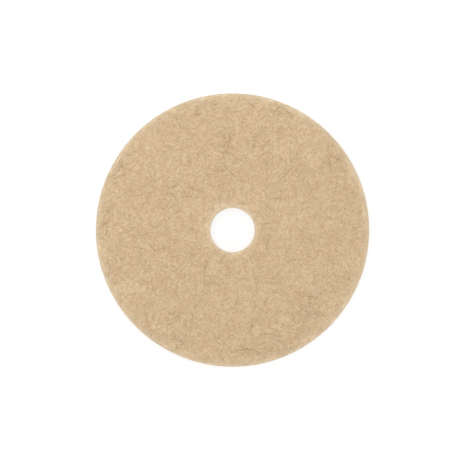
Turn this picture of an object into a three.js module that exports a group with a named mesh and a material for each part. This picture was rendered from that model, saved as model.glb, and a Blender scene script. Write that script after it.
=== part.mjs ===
// Floor polishing pad: one disc of lofty bonded fibre with a round centre hole.
// Millimetres, +Z up. The pad lies flat with the middle of its underside at the origin, and +Z is its spin axis.
import * as THREE from "three";

// Disc and centre hole
const PAD_DIAMETER = 508;
const PAD_THICKNESS = 25.4;
const HOLE_DIAMETER = 82.55;

// The fibre gives under the cutting die, so the rim and the hole come out softly rounded on both faces.
// A width is measured along the face, and a depth down the cut wall.
const RIM_ROUND_WIDTH = 9;
const RIM_ROUND_DEPTH = 6;
const HOLE_ROUND_WIDTH = 5;
const HOLE_ROUND_DEPTH = 3.5;

// Facets of the turned shape
const FACETS_AROUND = 120;
const FACETS_IN_ROUND = 6;

const FIBRE_COLOUR = 0xd1b692;

// A rounded edge of the section: a quarter of an ellipse, anticlockwise from the given quarter turn.
function edgeRound(x, y, width, depth, quarter) {
  const start = (quarter * Math.PI) / 2;
  const arc = new THREE.EllipseCurve(x, y, width, depth, start, start + Math.PI / 2);
  return arc.getPoints(FACETS_IN_ROUND);
}

// Half of the pad's section: x is the distance from the spin axis, and y is the height above the floor.
// It runs out along the underside, up the rim, in over the top and down the wall of the hole.
function padSection() {
  const rimX = PAD_DIAMETER / 2 - RIM_ROUND_WIDTH;
  const holeX = HOLE_DIAMETER / 2 + HOLE_ROUND_WIDTH;
  const rimTop = PAD_THICKNESS - RIM_ROUND_DEPTH;
  const holeTop = PAD_THICKNESS - HOLE_ROUND_DEPTH;
  const outline = [
    ...edgeRound(rimX, RIM_ROUND_DEPTH, RIM_ROUND_WIDTH, RIM_ROUND_DEPTH, -1),
    ...edgeRound(rimX, rimTop, RIM_ROUND_WIDTH, RIM_ROUND_DEPTH, 0),
    ...edgeRound(holeX, holeTop, HOLE_ROUND_WIDTH, HOLE_ROUND_DEPTH, 1),
    ...edgeRound(holeX, HOLE_ROUND_DEPTH, HOLE_ROUND_WIDTH, HOLE_ROUND_DEPTH, 2),
  ];
  return [...outline, outline[0]];
}

// The section turned once round the spin axis, which then stands along +Z.
function turnedPad() {
  const ring = new THREE.LatheGeometry(padSection(), FACETS_AROUND);
  ring.rotateX(Math.PI / 2);
  return ring;
}

const fibre = new THREE.MeshStandardMaterial({
  name: "tan_fibre",
  color: FIBRE_COLOUR,
  roughness: 0.95,
  metalness: 0,
});

const pad = new THREE.Mesh(turnedPad(), fibre);
pad.name = "polishing_pad";

const floorPad = new THREE.Group();
floorPad.add(pad);

export default floorPad;
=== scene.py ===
import math

import bmesh
import bpy
import numpy as np
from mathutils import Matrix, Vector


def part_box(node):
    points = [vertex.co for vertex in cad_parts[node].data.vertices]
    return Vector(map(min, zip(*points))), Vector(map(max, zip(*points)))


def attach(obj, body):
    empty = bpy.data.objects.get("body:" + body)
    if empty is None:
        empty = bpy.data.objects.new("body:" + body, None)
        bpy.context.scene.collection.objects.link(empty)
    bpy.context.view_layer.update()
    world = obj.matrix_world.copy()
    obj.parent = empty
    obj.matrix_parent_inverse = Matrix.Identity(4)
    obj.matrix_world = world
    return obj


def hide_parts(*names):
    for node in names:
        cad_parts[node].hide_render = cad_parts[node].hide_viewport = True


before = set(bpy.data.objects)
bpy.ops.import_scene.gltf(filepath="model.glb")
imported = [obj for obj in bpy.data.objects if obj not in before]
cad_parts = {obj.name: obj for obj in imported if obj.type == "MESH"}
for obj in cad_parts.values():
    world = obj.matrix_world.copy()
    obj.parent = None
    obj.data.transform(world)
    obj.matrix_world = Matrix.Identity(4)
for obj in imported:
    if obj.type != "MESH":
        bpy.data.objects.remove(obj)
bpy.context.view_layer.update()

# The camera hangs straight above the pad with a long lens, so that neither the rim nor the hole
# shows its wall. The photograph's pad lies a little to the right of the middle of its frame, and
# its outline is where the rim's rounded edge meets the upright wall.
pad_low, pad_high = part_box("polishing_pad")
pad_radius = (pad_high[0] - pad_low[0]) / 2
pad_thickness = pad_high[2] - pad_low[2]

rim_round = (0.009, 0.006)
photo_side = 460
photo_pad_radius = 136.59
photo_pad_centre = (232.55, 230.07)
lens_length = 200
film_width = 36
camera_reach = 50

metres_per_pixel = pad_radius / photo_pad_radius
frame_width = photo_side * metres_per_pixel
outline_height = pad_high[2] - rim_round[1]
camera_data = bpy.data.cameras.new("overhead_camera")
camera_data.lens = lens_length
camera_data.sensor_width = film_width
camera_data.clip_end = camera_reach
camera = bpy.data.objects.new("overhead_camera", camera_data)
bpy.context.scene.collection.objects.link(camera)
camera.location = (
    (photo_side / 2 - photo_pad_centre[0]) * metres_per_pixel,
    (photo_pad_centre[1] - photo_side / 2) * metres_per_pixel,
    outline_height + frame_width * lens_length / film_width,
)
bpy.context.scene.camera = camera
bpy.context.scene.view_settings.view_transform = "Standard"


# The studio is a wide white floor under soft light: an even white sky, and one weak soft lamp from the
# upper left. The floor looks white from where the camera is, and still takes the pad's shadow.
class Socket:
    """A node's output socket. An expression on sockets and numbers adds its Math nodes."""

    def __init__(self, finish, socket):
        self.finish = finish
        self.socket = socket

    def maths(self, operation, *values):
        """A Math node of this socket and others, or of numbers."""
        return self.finish.node("ShaderNodeMath", {"operation": operation}, values)

    def __add__(self, other):
        return self.maths("ADD", self, other)

    def __sub__(self, other):
        return self.maths("SUBTRACT", self, other)

    def __rsub__(self, other):
        return self.maths("SUBTRACT", other, self)

    def __mul__(self, other):
        return self.maths("MULTIPLY", self, other)

    def __pow__(self, other):
        return self.maths("POWER", self, other)

    def __rpow__(self, other):
        return self.maths("POWER", other, self)

    __radd__ = __add__
    __rmul__ = __mul__


class Finish:
    """The nodes of one material or of the sky, added one by one."""

    def __init__(self, owner, output_kind="ShaderNodeOutputMaterial"):
        owner.use_nodes = True
        self.tree = owner.node_tree
        self.tree.nodes.clear()
        self.output = self.tree.nodes.new(output_kind)

    def node(self, kind, settings=None, values=(), out=0):
        """Adds a node: its settings, then its sockets' values or links, in order or by name or number."""
        node = self.tree.nodes.new(kind)
        for key, value in (settings or {}).items():
            if key == "stops":
                self.set_stops(node.color_ramp, value)
            else:
                setattr(node, key, value)
        for key, value in values.items() if isinstance(values, dict) else enumerate(values):
            if isinstance(value, Socket):
                self.tree.links.new(value.socket, node.inputs[key])
            else:
                node.inputs[key].default_value = value
        return Socket(self, node.outputs[out])

    def set_stops(self, ramp, stops):
        """Gives a colour ramp its stops, each a place and a colour."""
        while len(ramp.elements) < len(stops):
            ramp.elements.new(1.0)
        for element, (place, colour) in zip(ramp.elements, stops):
            element.position = place
            element.color = (*colour, 1.0)

    def surface(self, shader):
        """Ends the nodes at their output."""
        self.tree.links.new(shader.socket, self.output.inputs["Surface"])


def seen_directly(finish):
    """1 where a ray comes from the camera, a reflection or a clear body, and 0 for other light."""
    path = "ShaderNodeLightPath"
    direct = finish.node(path, out="Is Camera Ray") + finish.node(path, out="Is Glossy Ray")
    return direct + finish.node(path, out="Is Transmission Ray")


def linked(name, mesh):
    """An object of the mesh, in the scene."""
    piece = bpy.data.objects.new(name, mesh)
    bpy.context.scene.collection.objects.link(piece)
    return piece


floor_reach = 12
floor_colour = (0.9, 0.9, 0.9, 1)
floor_glow_share = 0.66
floor_glow = 1.1
sky_level = 1.06
sky_colour = (1, 1, 1, 1)
lamp_power = 1.7
lamp_side = 0.7
lamp_place = (-0.32, 0.46, 0.95)

floor_shape = bmesh.new()
bmesh.ops.create_grid(floor_shape, x_segments=1, y_segments=1, size=floor_reach)
floor_mesh = bpy.data.meshes.new("studio_floor")
floor_shape.to_mesh(floor_mesh)
floor_shape.free()
floor = linked("studio_floor", floor_mesh)
floor_paint = bpy.data.materials.new("white_floor")
finish = Finish(floor_paint)
painted = finish.node("ShaderNodeBsdfDiffuse", None, {"Color": floor_colour})
glow = finish.node("ShaderNodeEmission", None, {"Strength": floor_glow})
share = seen_directly(finish) * floor_glow_share
finish.surface(finish.node("ShaderNodeMixShader", None, (share, painted, glow)))
floor_mesh.materials.append(floor_paint)

sky = bpy.data.worlds.new("white_sky")
bpy.context.scene.world = sky
finish = Finish(sky, "ShaderNodeOutputWorld")
finish.surface(finish.node("ShaderNodeBackground", None, {"Color": sky_colour, "Strength": sky_level}))

lamp_data = bpy.data.lights.new("soft_lamp", "AREA")
lamp_data.energy = lamp_power
lamp_data.size = lamp_side
lamp = bpy.data.objects.new("soft_lamp", lamp_data)
bpy.context.scene.collection.objects.link(lamp)
lamp.location = lamp_place
lamp.rotation_euler = lamp.location.to_track_quat("Z", "Y").to_euler()
lamp.visible_camera = False


# The pad's body is a thick web of crimped synthetic fibre with hair in it, air-laid, bonded with
# resin and pressed to its thickness. It is die-cut, so its rim and hole are softly rounded.
hole_diameter = 0.08255
hole_radius = hole_diameter / 2
hole_round = (0.005, 0.0035)
body_inset = 0.0006
body_face_step = 0.013
body_edge_step = 0.0035
body_turns = 112
fewest_edge_parts = 3
weld_reach = 1e-6
body_smoothing = 1
sag_size = 0.05
sag_detail = 2
sag_height = 0.0002
# The web's colour is darker than the fibres': painted shade of the depth under them.
web_colour_and_shade = (0.67, 0.535, 0.358)
web_roughness = 0.9
web_gloss = 0.25
bump_strength = 0.3
bump_depth = 0.0004
# Where little fibre lies over the web, colours turn darker and browner: painted shade of the depth.
thin_spot_shade = (0.877, 0.79, 0.683)
tone_span = 0.10
streak_length = 0.011
streak_width = 0.0015
streak_turns = 6
first_streak = 0.3
streak_detail = 1.0
streak_share = 0.20
grain_size = 0.0024
grain_detail = 1.0
grain_share = 1.1
# The cut rim and hole turn paler: partly clean cut fibre, partly painted light on their rounded edges.
cut_pale_and_edge_light = (0.92, 0.785, 0.575)
cut_reach = 0.020
rim_fade = 2
hole_fade = 3
layer_tone = (0.82, 0.77, 0.71)
layer_length = 0.016
layer_depth = 0.0014
layer_detail = 3.0
layer_grit = 0.6
layer_spread = (0.32, 0.56)
layer_starts = 0.0025
layer_full = 0.0060


def pad_outline(inset, face_step, edge_step):
    """Half of the pad's section, as stretches of (radius, height): up the hole, out, down and back."""
    def straight_run(start, end, step):
        count = max(1, round(math.dist(start, end) / step))
        return [(start[0] + (end[0] - start[0]) * i / count, start[1] + (end[1] - start[1]) * i / count)
                for i in range(count)]

    def rounded_run(centre, size, quarter):
        width, depth = size[0] - inset, size[1] - inset
        arc = math.pi / 4 * (width + depth)
        count = max(fewest_edge_parts, round(arc / edge_step))
        angles = [(quarter - i / count) * math.pi / 2 for i in range(count)]
        return [(centre[0] + width * math.cos(a), centre[1] + depth * math.sin(a)) for a in angles]

    hole, rim = hole_radius + inset, pad_radius - inset
    low, high = inset, pad_thickness - inset
    inner, outer = hole_radius + hole_round[0], pad_radius - rim_round[0]
    hole_low, hole_high = hole_round[1], pad_thickness - hole_round[1]
    rim_low, rim_high = rim_round[1], pad_thickness - rim_round[1]
    return {
        "hole_wall": straight_run((hole, hole_low), (hole, hole_high), edge_step),
        "hole_edge": rounded_run((inner, hole_high), hole_round, 2),
        "upper_face": straight_run((inner, high), (outer, high), face_step),
        "rim_edge": rounded_run((outer, rim_high), rim_round, 1),
        "rim_wall": straight_run((rim, rim_high), (rim, rim_low), edge_step),
        "lower_rim_edge": rounded_run((outer, rim_low), rim_round, 0),
        "underside": straight_run((outer, low), (inner, low), face_step),
        "lower_hole_edge": rounded_run((inner, hole_low), hole_round, -1),
    }


body_shape = bmesh.new()
outline = pad_outline(body_inset, body_face_step, body_edge_step)
ring = [body_shape.verts.new((radius, 0, height)) for points in outline.values() for radius, height in points]
edges = [body_shape.edges.new(pair) for pair in zip(ring, ring[1:] + ring[:1])]
bmesh.ops.spin(
    body_shape, geom=ring + edges, cent=(0, 0, 0), axis=(0, 0, 1), angle=math.tau,
    steps=body_turns, use_merge=True)
bmesh.ops.remove_doubles(body_shape, verts=body_shape.verts, dist=weld_reach)
bmesh.ops.recalc_face_normals(body_shape, faces=body_shape.faces)
body_mesh = bpy.data.meshes.new("fibre_body")
body_shape.to_mesh(body_mesh)
body_shape.free()
body_mesh.shade_smooth()
fibre_body = linked("fibre_body", body_mesh)
smoothing = fibre_body.modifiers.new("smoothing", "SUBSURF")
smoothing.levels = smoothing.render_levels = body_smoothing


def uneven(piece, name, size, detail, height):
    """Raises and lowers a piece's surface in soft lumps."""
    lumps = bpy.data.textures.new(name, "CLOUDS")
    lumps.noise_scale = size
    lumps.noise_depth = detail
    modifier = piece.modifiers.new(name, "DISPLACE")
    modifier.texture = lumps
    modifier.texture_coords = "LOCAL"
    modifier.strength = height
    modifier.mid_level = 0.5


uneven(fibre_body, "web_sag", sag_size, sag_detail, sag_height)


def noise(finish, place, size, detail=2.0, roughness=0.5, seed=0.0):
    """Soft random tones about one size across, from 0 to 1."""
    return finish.node("ShaderNodeTexNoise", {"noise_dimensions": "4D"}, {
        "Vector": place, "W": seed, "Scale": 1 / size, "Detail": detail, "Roughness": roughness})


def ramp(finish, tone, *stops):
    """A colour for each tone, between stops of a place and a colour."""
    return finish.node("ShaderNodeValToRGB", {"stops": stops}, [tone])


def mixed(finish, factor, first, second, blend="MIX"):
    """One colour turned towards another. The node's names repeat, so its sockets go by number."""
    factor_in, first_in, second_in, colour_out = 0, 6, 7, 2
    settings = {"data_type": "RGBA", "blend_type": blend}
    values = {factor_in: factor, first_in: first, second_in: second}
    return finish.node("ShaderNodeMix", settings, values, out=colour_out)


def between(finish, value, start, end):
    """0 at the start and 1 at the end, with a soft passage."""
    smooth = {"interpolation_type": "SMOOTHSTEP"}
    return finish.node("ShaderNodeMapRange", smooth, (value, start, end, 0.0, 1.0))


def cut_edges(finish, place, colour):
    """Paler where the die cut the rim and the hole, partly clean fibre and partly painted light on their
    rounded edges, and level layers on their walls.
    """
    flat = finish.node("ShaderNodeVectorMath", {"operation": "MULTIPLY"}, (place, (1, 1, 0)))
    radius = finish.node("ShaderNodeVectorMath", {"operation": "LENGTH"}, [flat], out="Value")
    at_rim = finish.node("ShaderNodeMapRange", None, (radius, pad_radius - cut_reach, pad_radius))
    at_hole = finish.node("ShaderNodeMapRange", None, (radius, hole_radius + cut_reach, hole_radius))
    pale = mixed(finish, at_rim ** rim_fade + at_hole ** hole_fade, colour, (*cut_pale_and_edge_light, 1))
    height = finish.node("ShaderNodeSeparateXYZ", None, [place], out="Z")
    wall = between(finish, height, layer_starts, layer_full)
    wall = wall * between(finish, height, pad_thickness - layer_starts, pad_thickness - layer_full)
    layers = finish.node("ShaderNodeMapping", {"vector_type": "TEXTURE"}, {
        "Vector": place, "Scale": (layer_length, layer_length, layer_depth)})
    layers = noise(finish, layers, 1.0, layer_detail, layer_grit)
    layers = ramp(finish, layers, (layer_spread[0], layer_tone), (layer_spread[1], (1, 1, 1)))
    return mixed(finish, wall, pale, mixed(finish, 1.0, pale, layers, "MULTIPLY"))


def web_tone(finish, place):
    """Thick and thin in the web, round 0.5: fine grain, and short streaks in every direction."""
    tone = (noise(finish, place, grain_size, grain_detail) - 0.5) * grain_share + 0.5
    for i in range(streak_turns):
        turn = math.pi * (i + first_streak) / streak_turns
        turned = finish.node("ShaderNodeMapping", {"vector_type": "TEXTURE"}, {
            "Vector": place, "Rotation": (0, 0, turn), "Scale": (streak_length, streak_width, streak_width)})
        tone = tone + (noise(finish, turned, 1.0, streak_detail, seed=turn) - 0.5) * streak_share
    return tone


def depth_shaded(finish, tone, colour):
    """A colour with painted shade where little fibre lies over the web: darker and browner there, as its
    depth shows through.
    """
    shade = ramp(finish, tone, (0.5 - tone_span, thin_spot_shade), (0.5 + tone_span, (1, 1, 1)))
    return mixed(finish, 1.0, colour, shade, "MULTIPLY")


def web_finish():
    """The resin-bonded web in the depth between the loose fibres, coloured darker than they are as painted
    shade of that depth.
    """
    material = bpy.data.materials.new("bonded_web")
    finish = Finish(material)
    place = finish.node("ShaderNodeTexCoord", out="Object")
    tone = web_tone(finish, place)
    colour = cut_edges(finish, place, depth_shaded(finish, tone, (*web_colour_and_shade, 1)))
    grain = finish.node("ShaderNodeBump", None, {
        "Height": tone, "Strength": bump_strength, "Distance": bump_depth})
    finish.surface(finish.node("ShaderNodeBsdfPrincipled", None, {
        "Base Color": colour, "Roughness": web_roughness, "Normal": grain, "Specular IOR Level": web_gloss}))
    return material


body_mesh.materials.append(web_finish())
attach(fibre_body, "root")
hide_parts("polishing_pad")


# The upper face is a felt of thin fibres bonded where they cross: cream and straw synthetic fibre,
# with pale and brown hair carded into it. They lie flat in every direction, straight or crimped.
fibre_thickness = 0.0003
thickness_spread = (0.7, 1.2)
fibre_sides = 3
taper_ends = (0.12, 0.88)
taper_power = 0.6
sway_pace = (0.8, 1.8)
tuck_power = 4
skin_step = 0.0005
scatter_steps = 400
fibre_roughness = 0.7
fibre_gloss = 0.3
cloud_size = 0.040
cloud_detail = 3.0
cloud_grit = 0.55
cloud_spread = (0.30, 0.70)
cloud_tone = (0.98, 0.968, 0.955)
fibre_kinds = (
    (0.34, (0.924, 0.765, 0.549)),
    (0.36, (0.881, 0.705, 0.482)),
    (0.22, (0.838, 0.656, 0.426)),
    (0.07, (0.80, 0.667, 0.485)),
    (0.01, (0.595, 0.459, 0.32)),
)
fibre_variety = 0.04
palest_fibre = 0.98


class Skin:
    """The pad's surface unrolled: a distance along its section, and an angle about the spin axis."""

    def __init__(self):
        outline = pad_outline(0.0, skin_step, skin_step)
        points = np.array([point for stretch in outline.values() for point in stretch])
        pace = np.roll(points, -1, axis=0) - points
        length = np.hypot(*pace.T)
        self.place = np.concatenate([[0.0], np.cumsum(length)])
        self.points = np.vstack([points, points[:1]])
        self.middle = self.place[:-1] + length / 2
        self.course = pace / length[:, None]
        counts = np.cumsum([0] + [len(stretch) for stretch in outline.values()])
        self.starts = dict(zip([*outline, "end"], self.place[counts]))

    def at(self, s):
        """The radius and height there, and the two parts of the section's direction."""
        total = self.place[-1]
        s = np.mod(s, total)
        radius, height = (np.interp(s, self.place, self.points[:, i]) for i in (0, 1))
        along = [np.interp(s, self.middle, self.course[:, i], period=total) for i in (0, 1)]
        size = np.hypot(*along)
        return radius, height, along[0] / size, along[1] / size

    def scatter(self, rng, count, first, last):
        """Places spread evenly over the surface from the start of one stretch to that of another."""
        places = np.linspace(self.starts[first], self.starts[last], scatter_steps)
        area = np.cumsum(self.at(places)[0])
        return np.interp(rng.random(count) * area[-1], area, places), rng.uniform(0, math.tau, count)


skin = Skin()


def spread_out(rng, count, zone):
    """Where each of a zone's fibres starts, and its heading there, all at random."""
    return *skin.scatter(rng, count, *zone), rng.uniform(0, math.tau, count)


def lying(rng, count, steps, low=-0.0004, high=-0.0002, sway=0.00006, tuck=0.0002):
    """Heights over the skin along fibres that lie in it, sway a little and dip in at both ends."""
    k = np.arange(steps + 1)
    middle = rng.uniform(low, high, (count, 1))
    waves = np.sin(rng.uniform(0, math.tau, (count, 1)) + rng.uniform(*sway_pace, (count, 1)) * k)
    return middle + sway * waves - tuck * (2 * k / steps - 1) ** tuck_power


def fibre_courses(rng, zone, thickness, steps, length, wander, heights=lying, starts=spread_out):
    """The middle lines of a zone's fibres, all walked along the skin at once and kept above the floor."""
    count = len(thickness)
    s, angle, heading = starts(rng, count, zone)
    curl = rng.normal(0, wander / 2, count)
    pace = rng.uniform(*length, count) / steps
    rises = heights(rng, count, steps)
    courses = np.empty((count, steps + 1, 3))
    for k in range(steps + 1):
        radius, height, along_r, along_z = skin.at(s)
        out = radius - along_z * rises[:, k]
        courses[:, k, 0] = out * np.cos(angle)
        courses[:, k, 1] = out * np.sin(angle)
        courses[:, k, 2] = np.maximum(height + along_r * rises[:, k], thickness / 2)
        heading = heading + curl + rng.normal(0, wander, count)
        turn = pace * np.sin(heading) / radius
        s = s + pace * np.cos(heading)
        angle = angle + turn
        heading = heading - turn * along_r
    return courses


def fibre_tubes(name, courses, thickness):
    """One mesh of closed thin tubes, each drawn out finer towards its two ends."""
    count, points, _ = courses.shape
    section_data = bpy.data.curves.new(name + "_section", "CURVE")
    section = section_data.splines.new("POLY")
    section.points.add(fibre_sides - 1)
    for i, point in enumerate(section.points):
        turn = math.tau * i / fibre_sides
        point.co = (math.cos(turn), math.sin(turn), 0, 1)
    section.use_cyclic_u = True
    section_object = linked(name + "_section", section_data)
    lines = bpy.data.curves.new(name + "_lines", "CURVE")
    lines.dimensions = "3D"
    lines.bevel_mode = "OBJECT"
    lines.bevel_object = section_object
    lines.use_fill_caps = True
    taper = np.sin(np.linspace(*taper_ends, points) * math.pi) ** taper_power
    places = np.ones((count, points, 4), np.float32)
    places[:, :, :3] = courses
    radii = (thickness[:, None] / 2 * taper).astype(np.float32)
    for place, radius in zip(places, radii):
        fibre = lines.splines.new("POLY")
        fibre.points.add(points - 1)
        fibre.points.foreach_set("co", place.ravel())
        fibre.points.foreach_set("radius", radius)
    drawn = linked(name + "_lines", lines)
    mesh = bpy.data.meshes.new_from_object(drawn.evaluated_get(bpy.context.evaluated_depsgraph_get()))
    mesh.name = name
    for helper in (drawn, section_object):
        bpy.data.objects.remove(helper)
    return mesh


def fibre_colours(rng, kinds, count):
    """A colour for each fibre: its kind's own, a little lighter or darker."""
    shares = np.array([share for share, _ in kinds])
    own = np.array([colour for _, colour in kinds])[rng.choice(len(kinds), count, p=shares / shares.sum())]
    return np.clip(own * rng.lognormal(0, fibre_variety, (count, 1)), 0, palest_fibre)


def lay_fibres(name, zone, seed, count, kinds=fibre_kinds, thickness=fibre_thickness, **course):
    """A layer of fibres on the pad, from the start of one stretch of its surface to another."""
    rng = np.random.default_rng(seed)
    thicknesses = thickness * rng.uniform(*thickness_spread, count)
    mesh = fibre_tubes(name, fibre_courses(rng, zone, thicknesses, **course), thicknesses)
    colours = np.hstack([fibre_colours(rng, kinds, count), np.ones((count, 1))])
    each = len(mesh.vertices) // count
    paint = mesh.attributes.new("fibre_colour", "FLOAT_COLOR", "POINT")
    paint.data.foreach_set("color", np.repeat(colours, each, axis=0).astype(np.float32).ravel())
    mesh.materials.clear()
    mesh.materials.append(fibre_material)
    mesh.shade_smooth()
    piece = linked(name, mesh)
    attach(piece, "root")
    return piece


def fibre_finish():
    """Each fibre in its own colour, a little cloudy over the pad, with painted shade where the web is thin,
    and paler at the cut edges, partly as painted light.
    """
    material = bpy.data.materials.new("tan_fibres")
    finish = Finish(material)
    place = finish.node("ShaderNodeTexCoord", out="Object")
    own = finish.node("ShaderNodeAttribute", {"attribute_name": "fibre_colour"}, out="Color")
    clouds = noise(finish, place, cloud_size, cloud_detail, cloud_grit)
    shade = ramp(finish, clouds, (cloud_spread[0], cloud_tone), (cloud_spread[1], (1, 1, 1)))
    # Painted shade darkens the colour where the web under it is thin.
    colour = depth_shaded(finish, web_tone(finish, place), mixed(finish, 1.0, own, shade, "MULTIPLY"))
    colour = cut_edges(finish, place, colour)
    finish.surface(finish.node("ShaderNodeBsdfPrincipled", None, {
        "Base Color": colour, "Roughness": fibre_roughness, "Specular IOR Level": fibre_gloss}))
    return material


fibre_material = fibre_finish()
upper_zone = ("hole_edge", "rim_wall")
straight = {"steps": 3, "length": (0.010, 0.022), "wander": 0.06}
crimped = {"steps": 5, "length": (0.014, 0.026), "wander": 0.20}
lay_fibres("upper_face_fibres", upper_zone, seed=11, count=9800, **straight)
lay_fibres("upper_face_hair", upper_zone, seed=13, count=9800, **straight)
lay_fibres("upper_face_crimped", upper_zone, seed=12, count=6000, **crimped)


# Dark hair shows singly and in wisps, as the carding leaves it: a few long straight hairs side by
# side, thicker in some patches of the pad than in others. Short pale ends stand up as flecks.
hair_kinds = (
    (0.4, (0.23, 0.125, 0.065)),
    (0.6, (0.385, 0.245, 0.145)),
)
fleck_kinds = ((1.0, (0.95, 0.85, 0.68)),)
fleck_root = -0.0003
fleck_tip = (0.0001, 0.0006)
wisp_hairs = 3
wisp_tries = 4
wisp_width = 0.003
wisp_fan = 0.15
patch_waves = 7
patch_size = (0.05, 0.16)
patch_depth = 1.3


def in_wisps(rng, count, zone):
    """Starts and headings of hairs that lie side by side in wisps, and the wisps in soft patches."""
    wanted = math.ceil(count / wisp_hairs)
    s, angle, heading = spread_out(rng, wisp_tries * wanted, zone)
    radius = skin.at(s)[0]
    thick = np.zeros(len(s))
    for _ in range(patch_waves):
        turn, size, phase = rng.uniform((0, patch_size[0], 0), (math.tau, patch_size[1], math.tau))
        thick += np.cos(radius * np.cos(angle - turn) * math.tau / size + phase)
    share = np.exp(patch_depth * thick / math.sqrt(patch_waves / 2))
    kept = rng.choice(len(s), wanted, replace=False, p=share / share.sum())
    s, angle, heading = (np.repeat(values[kept], wisp_hairs)[:count] for values in (s, angle, heading))
    shift = rng.normal(0, wisp_width, (2, count))
    return s + shift[0], angle + shift[1] / skin.at(s)[0], heading + rng.normal(0, wisp_fan, count)


def rising(root, tip):
    """Heights over the skin along fibres that come up out of the web, each to a tip within a range."""
    def heights(rng, count, steps):
        return np.linspace(root, rng.uniform(*tip, count), steps + 1).T
    return heights


hair = {"kinds": hair_kinds, "steps": 4, "length": (0.009, 0.034), "wander": 0.05, "starts": in_wisps}
fleck = {"kinds": fleck_kinds, "thickness": 0.0005, "steps": 2, "length": (0.0015, 0.0040),
         "wander": 0.2, "heights": rising(fleck_root, fleck_tip)}
lay_fibres("upper_face_dark_hair", upper_zone, seed=14, count=330, **hair)
lay_fibres("upper_face_flecks", upper_zone, seed=15, count=900, **fleck)


# The underside is the same felt as the upper face, since the pad can be turned over. Its fibres
# are pressed flat where the pad lies on the floor.
def pressed(rng, count, steps):
    """Heights along fibres that lie a little deeper in the skin."""
    return lying(rng, count, steps, low=-0.0005, high=-0.0003)


lower_zone = ("lower_rim_edge", "end")
lay_fibres("underside_fibres", lower_zone, seed=21, count=6500, heights=pressed, **straight)
lay_fibres("underside_dark_hair", lower_zone, seed=22, count=330, heights=pressed, **hair)


# The rim is where the die cut through the web: its layers lie level round the pad, and the short
# cut ends of the fibres stand out of it as a thin pale fuzz.
layer_stray = 0.35
fuzz_root = -0.002
fuzz_tip = (0.0002, 0.0010)


def level(rng, count, zone):
    """Starts and headings of fibres that run level round the pad, either way, and stray a little."""
    s, angle, _ = spread_out(rng, count, zone)
    return s, angle, math.pi / 2 * rng.choice((-1, 1), count) + rng.normal(0, layer_stray, count)


def proud(rng, count, steps):
    """Heights along fibres that lie in the skin or just over it."""
    return lying(rng, count, steps, low=-0.0003, high=0.0001)


rim_zone = ("rim_edge", "underside")
rim_wall_zone = ("rim_edge", "lower_rim_edge")
layered = {"steps": 3, "length": (0.008, 0.020), "wander": 0.10, "starts": level}
fuzz = {"steps": 2, "length": (0.0015, 0.004), "wander": 0.3, "heights": rising(fuzz_root, fuzz_tip)}
lay_fibres("rim_fibres", rim_zone, seed=31, count=7000, heights=proud, **layered)
lay_fibres("rim_fuzz", rim_wall_zone, seed=32, count=2400, **fuzz)


# The wall of the hole is cut by the same die, and has the same level layers and cut ends.
hole_zone = ("hole_wall", "upper_face")
lay_fibres("hole_wall_fibres", hole_zone, seed=41, count=900, **layered)
lay_fibres("hole_wall_fuzz", hole_zone, seed=42, count=400, **fuzz)
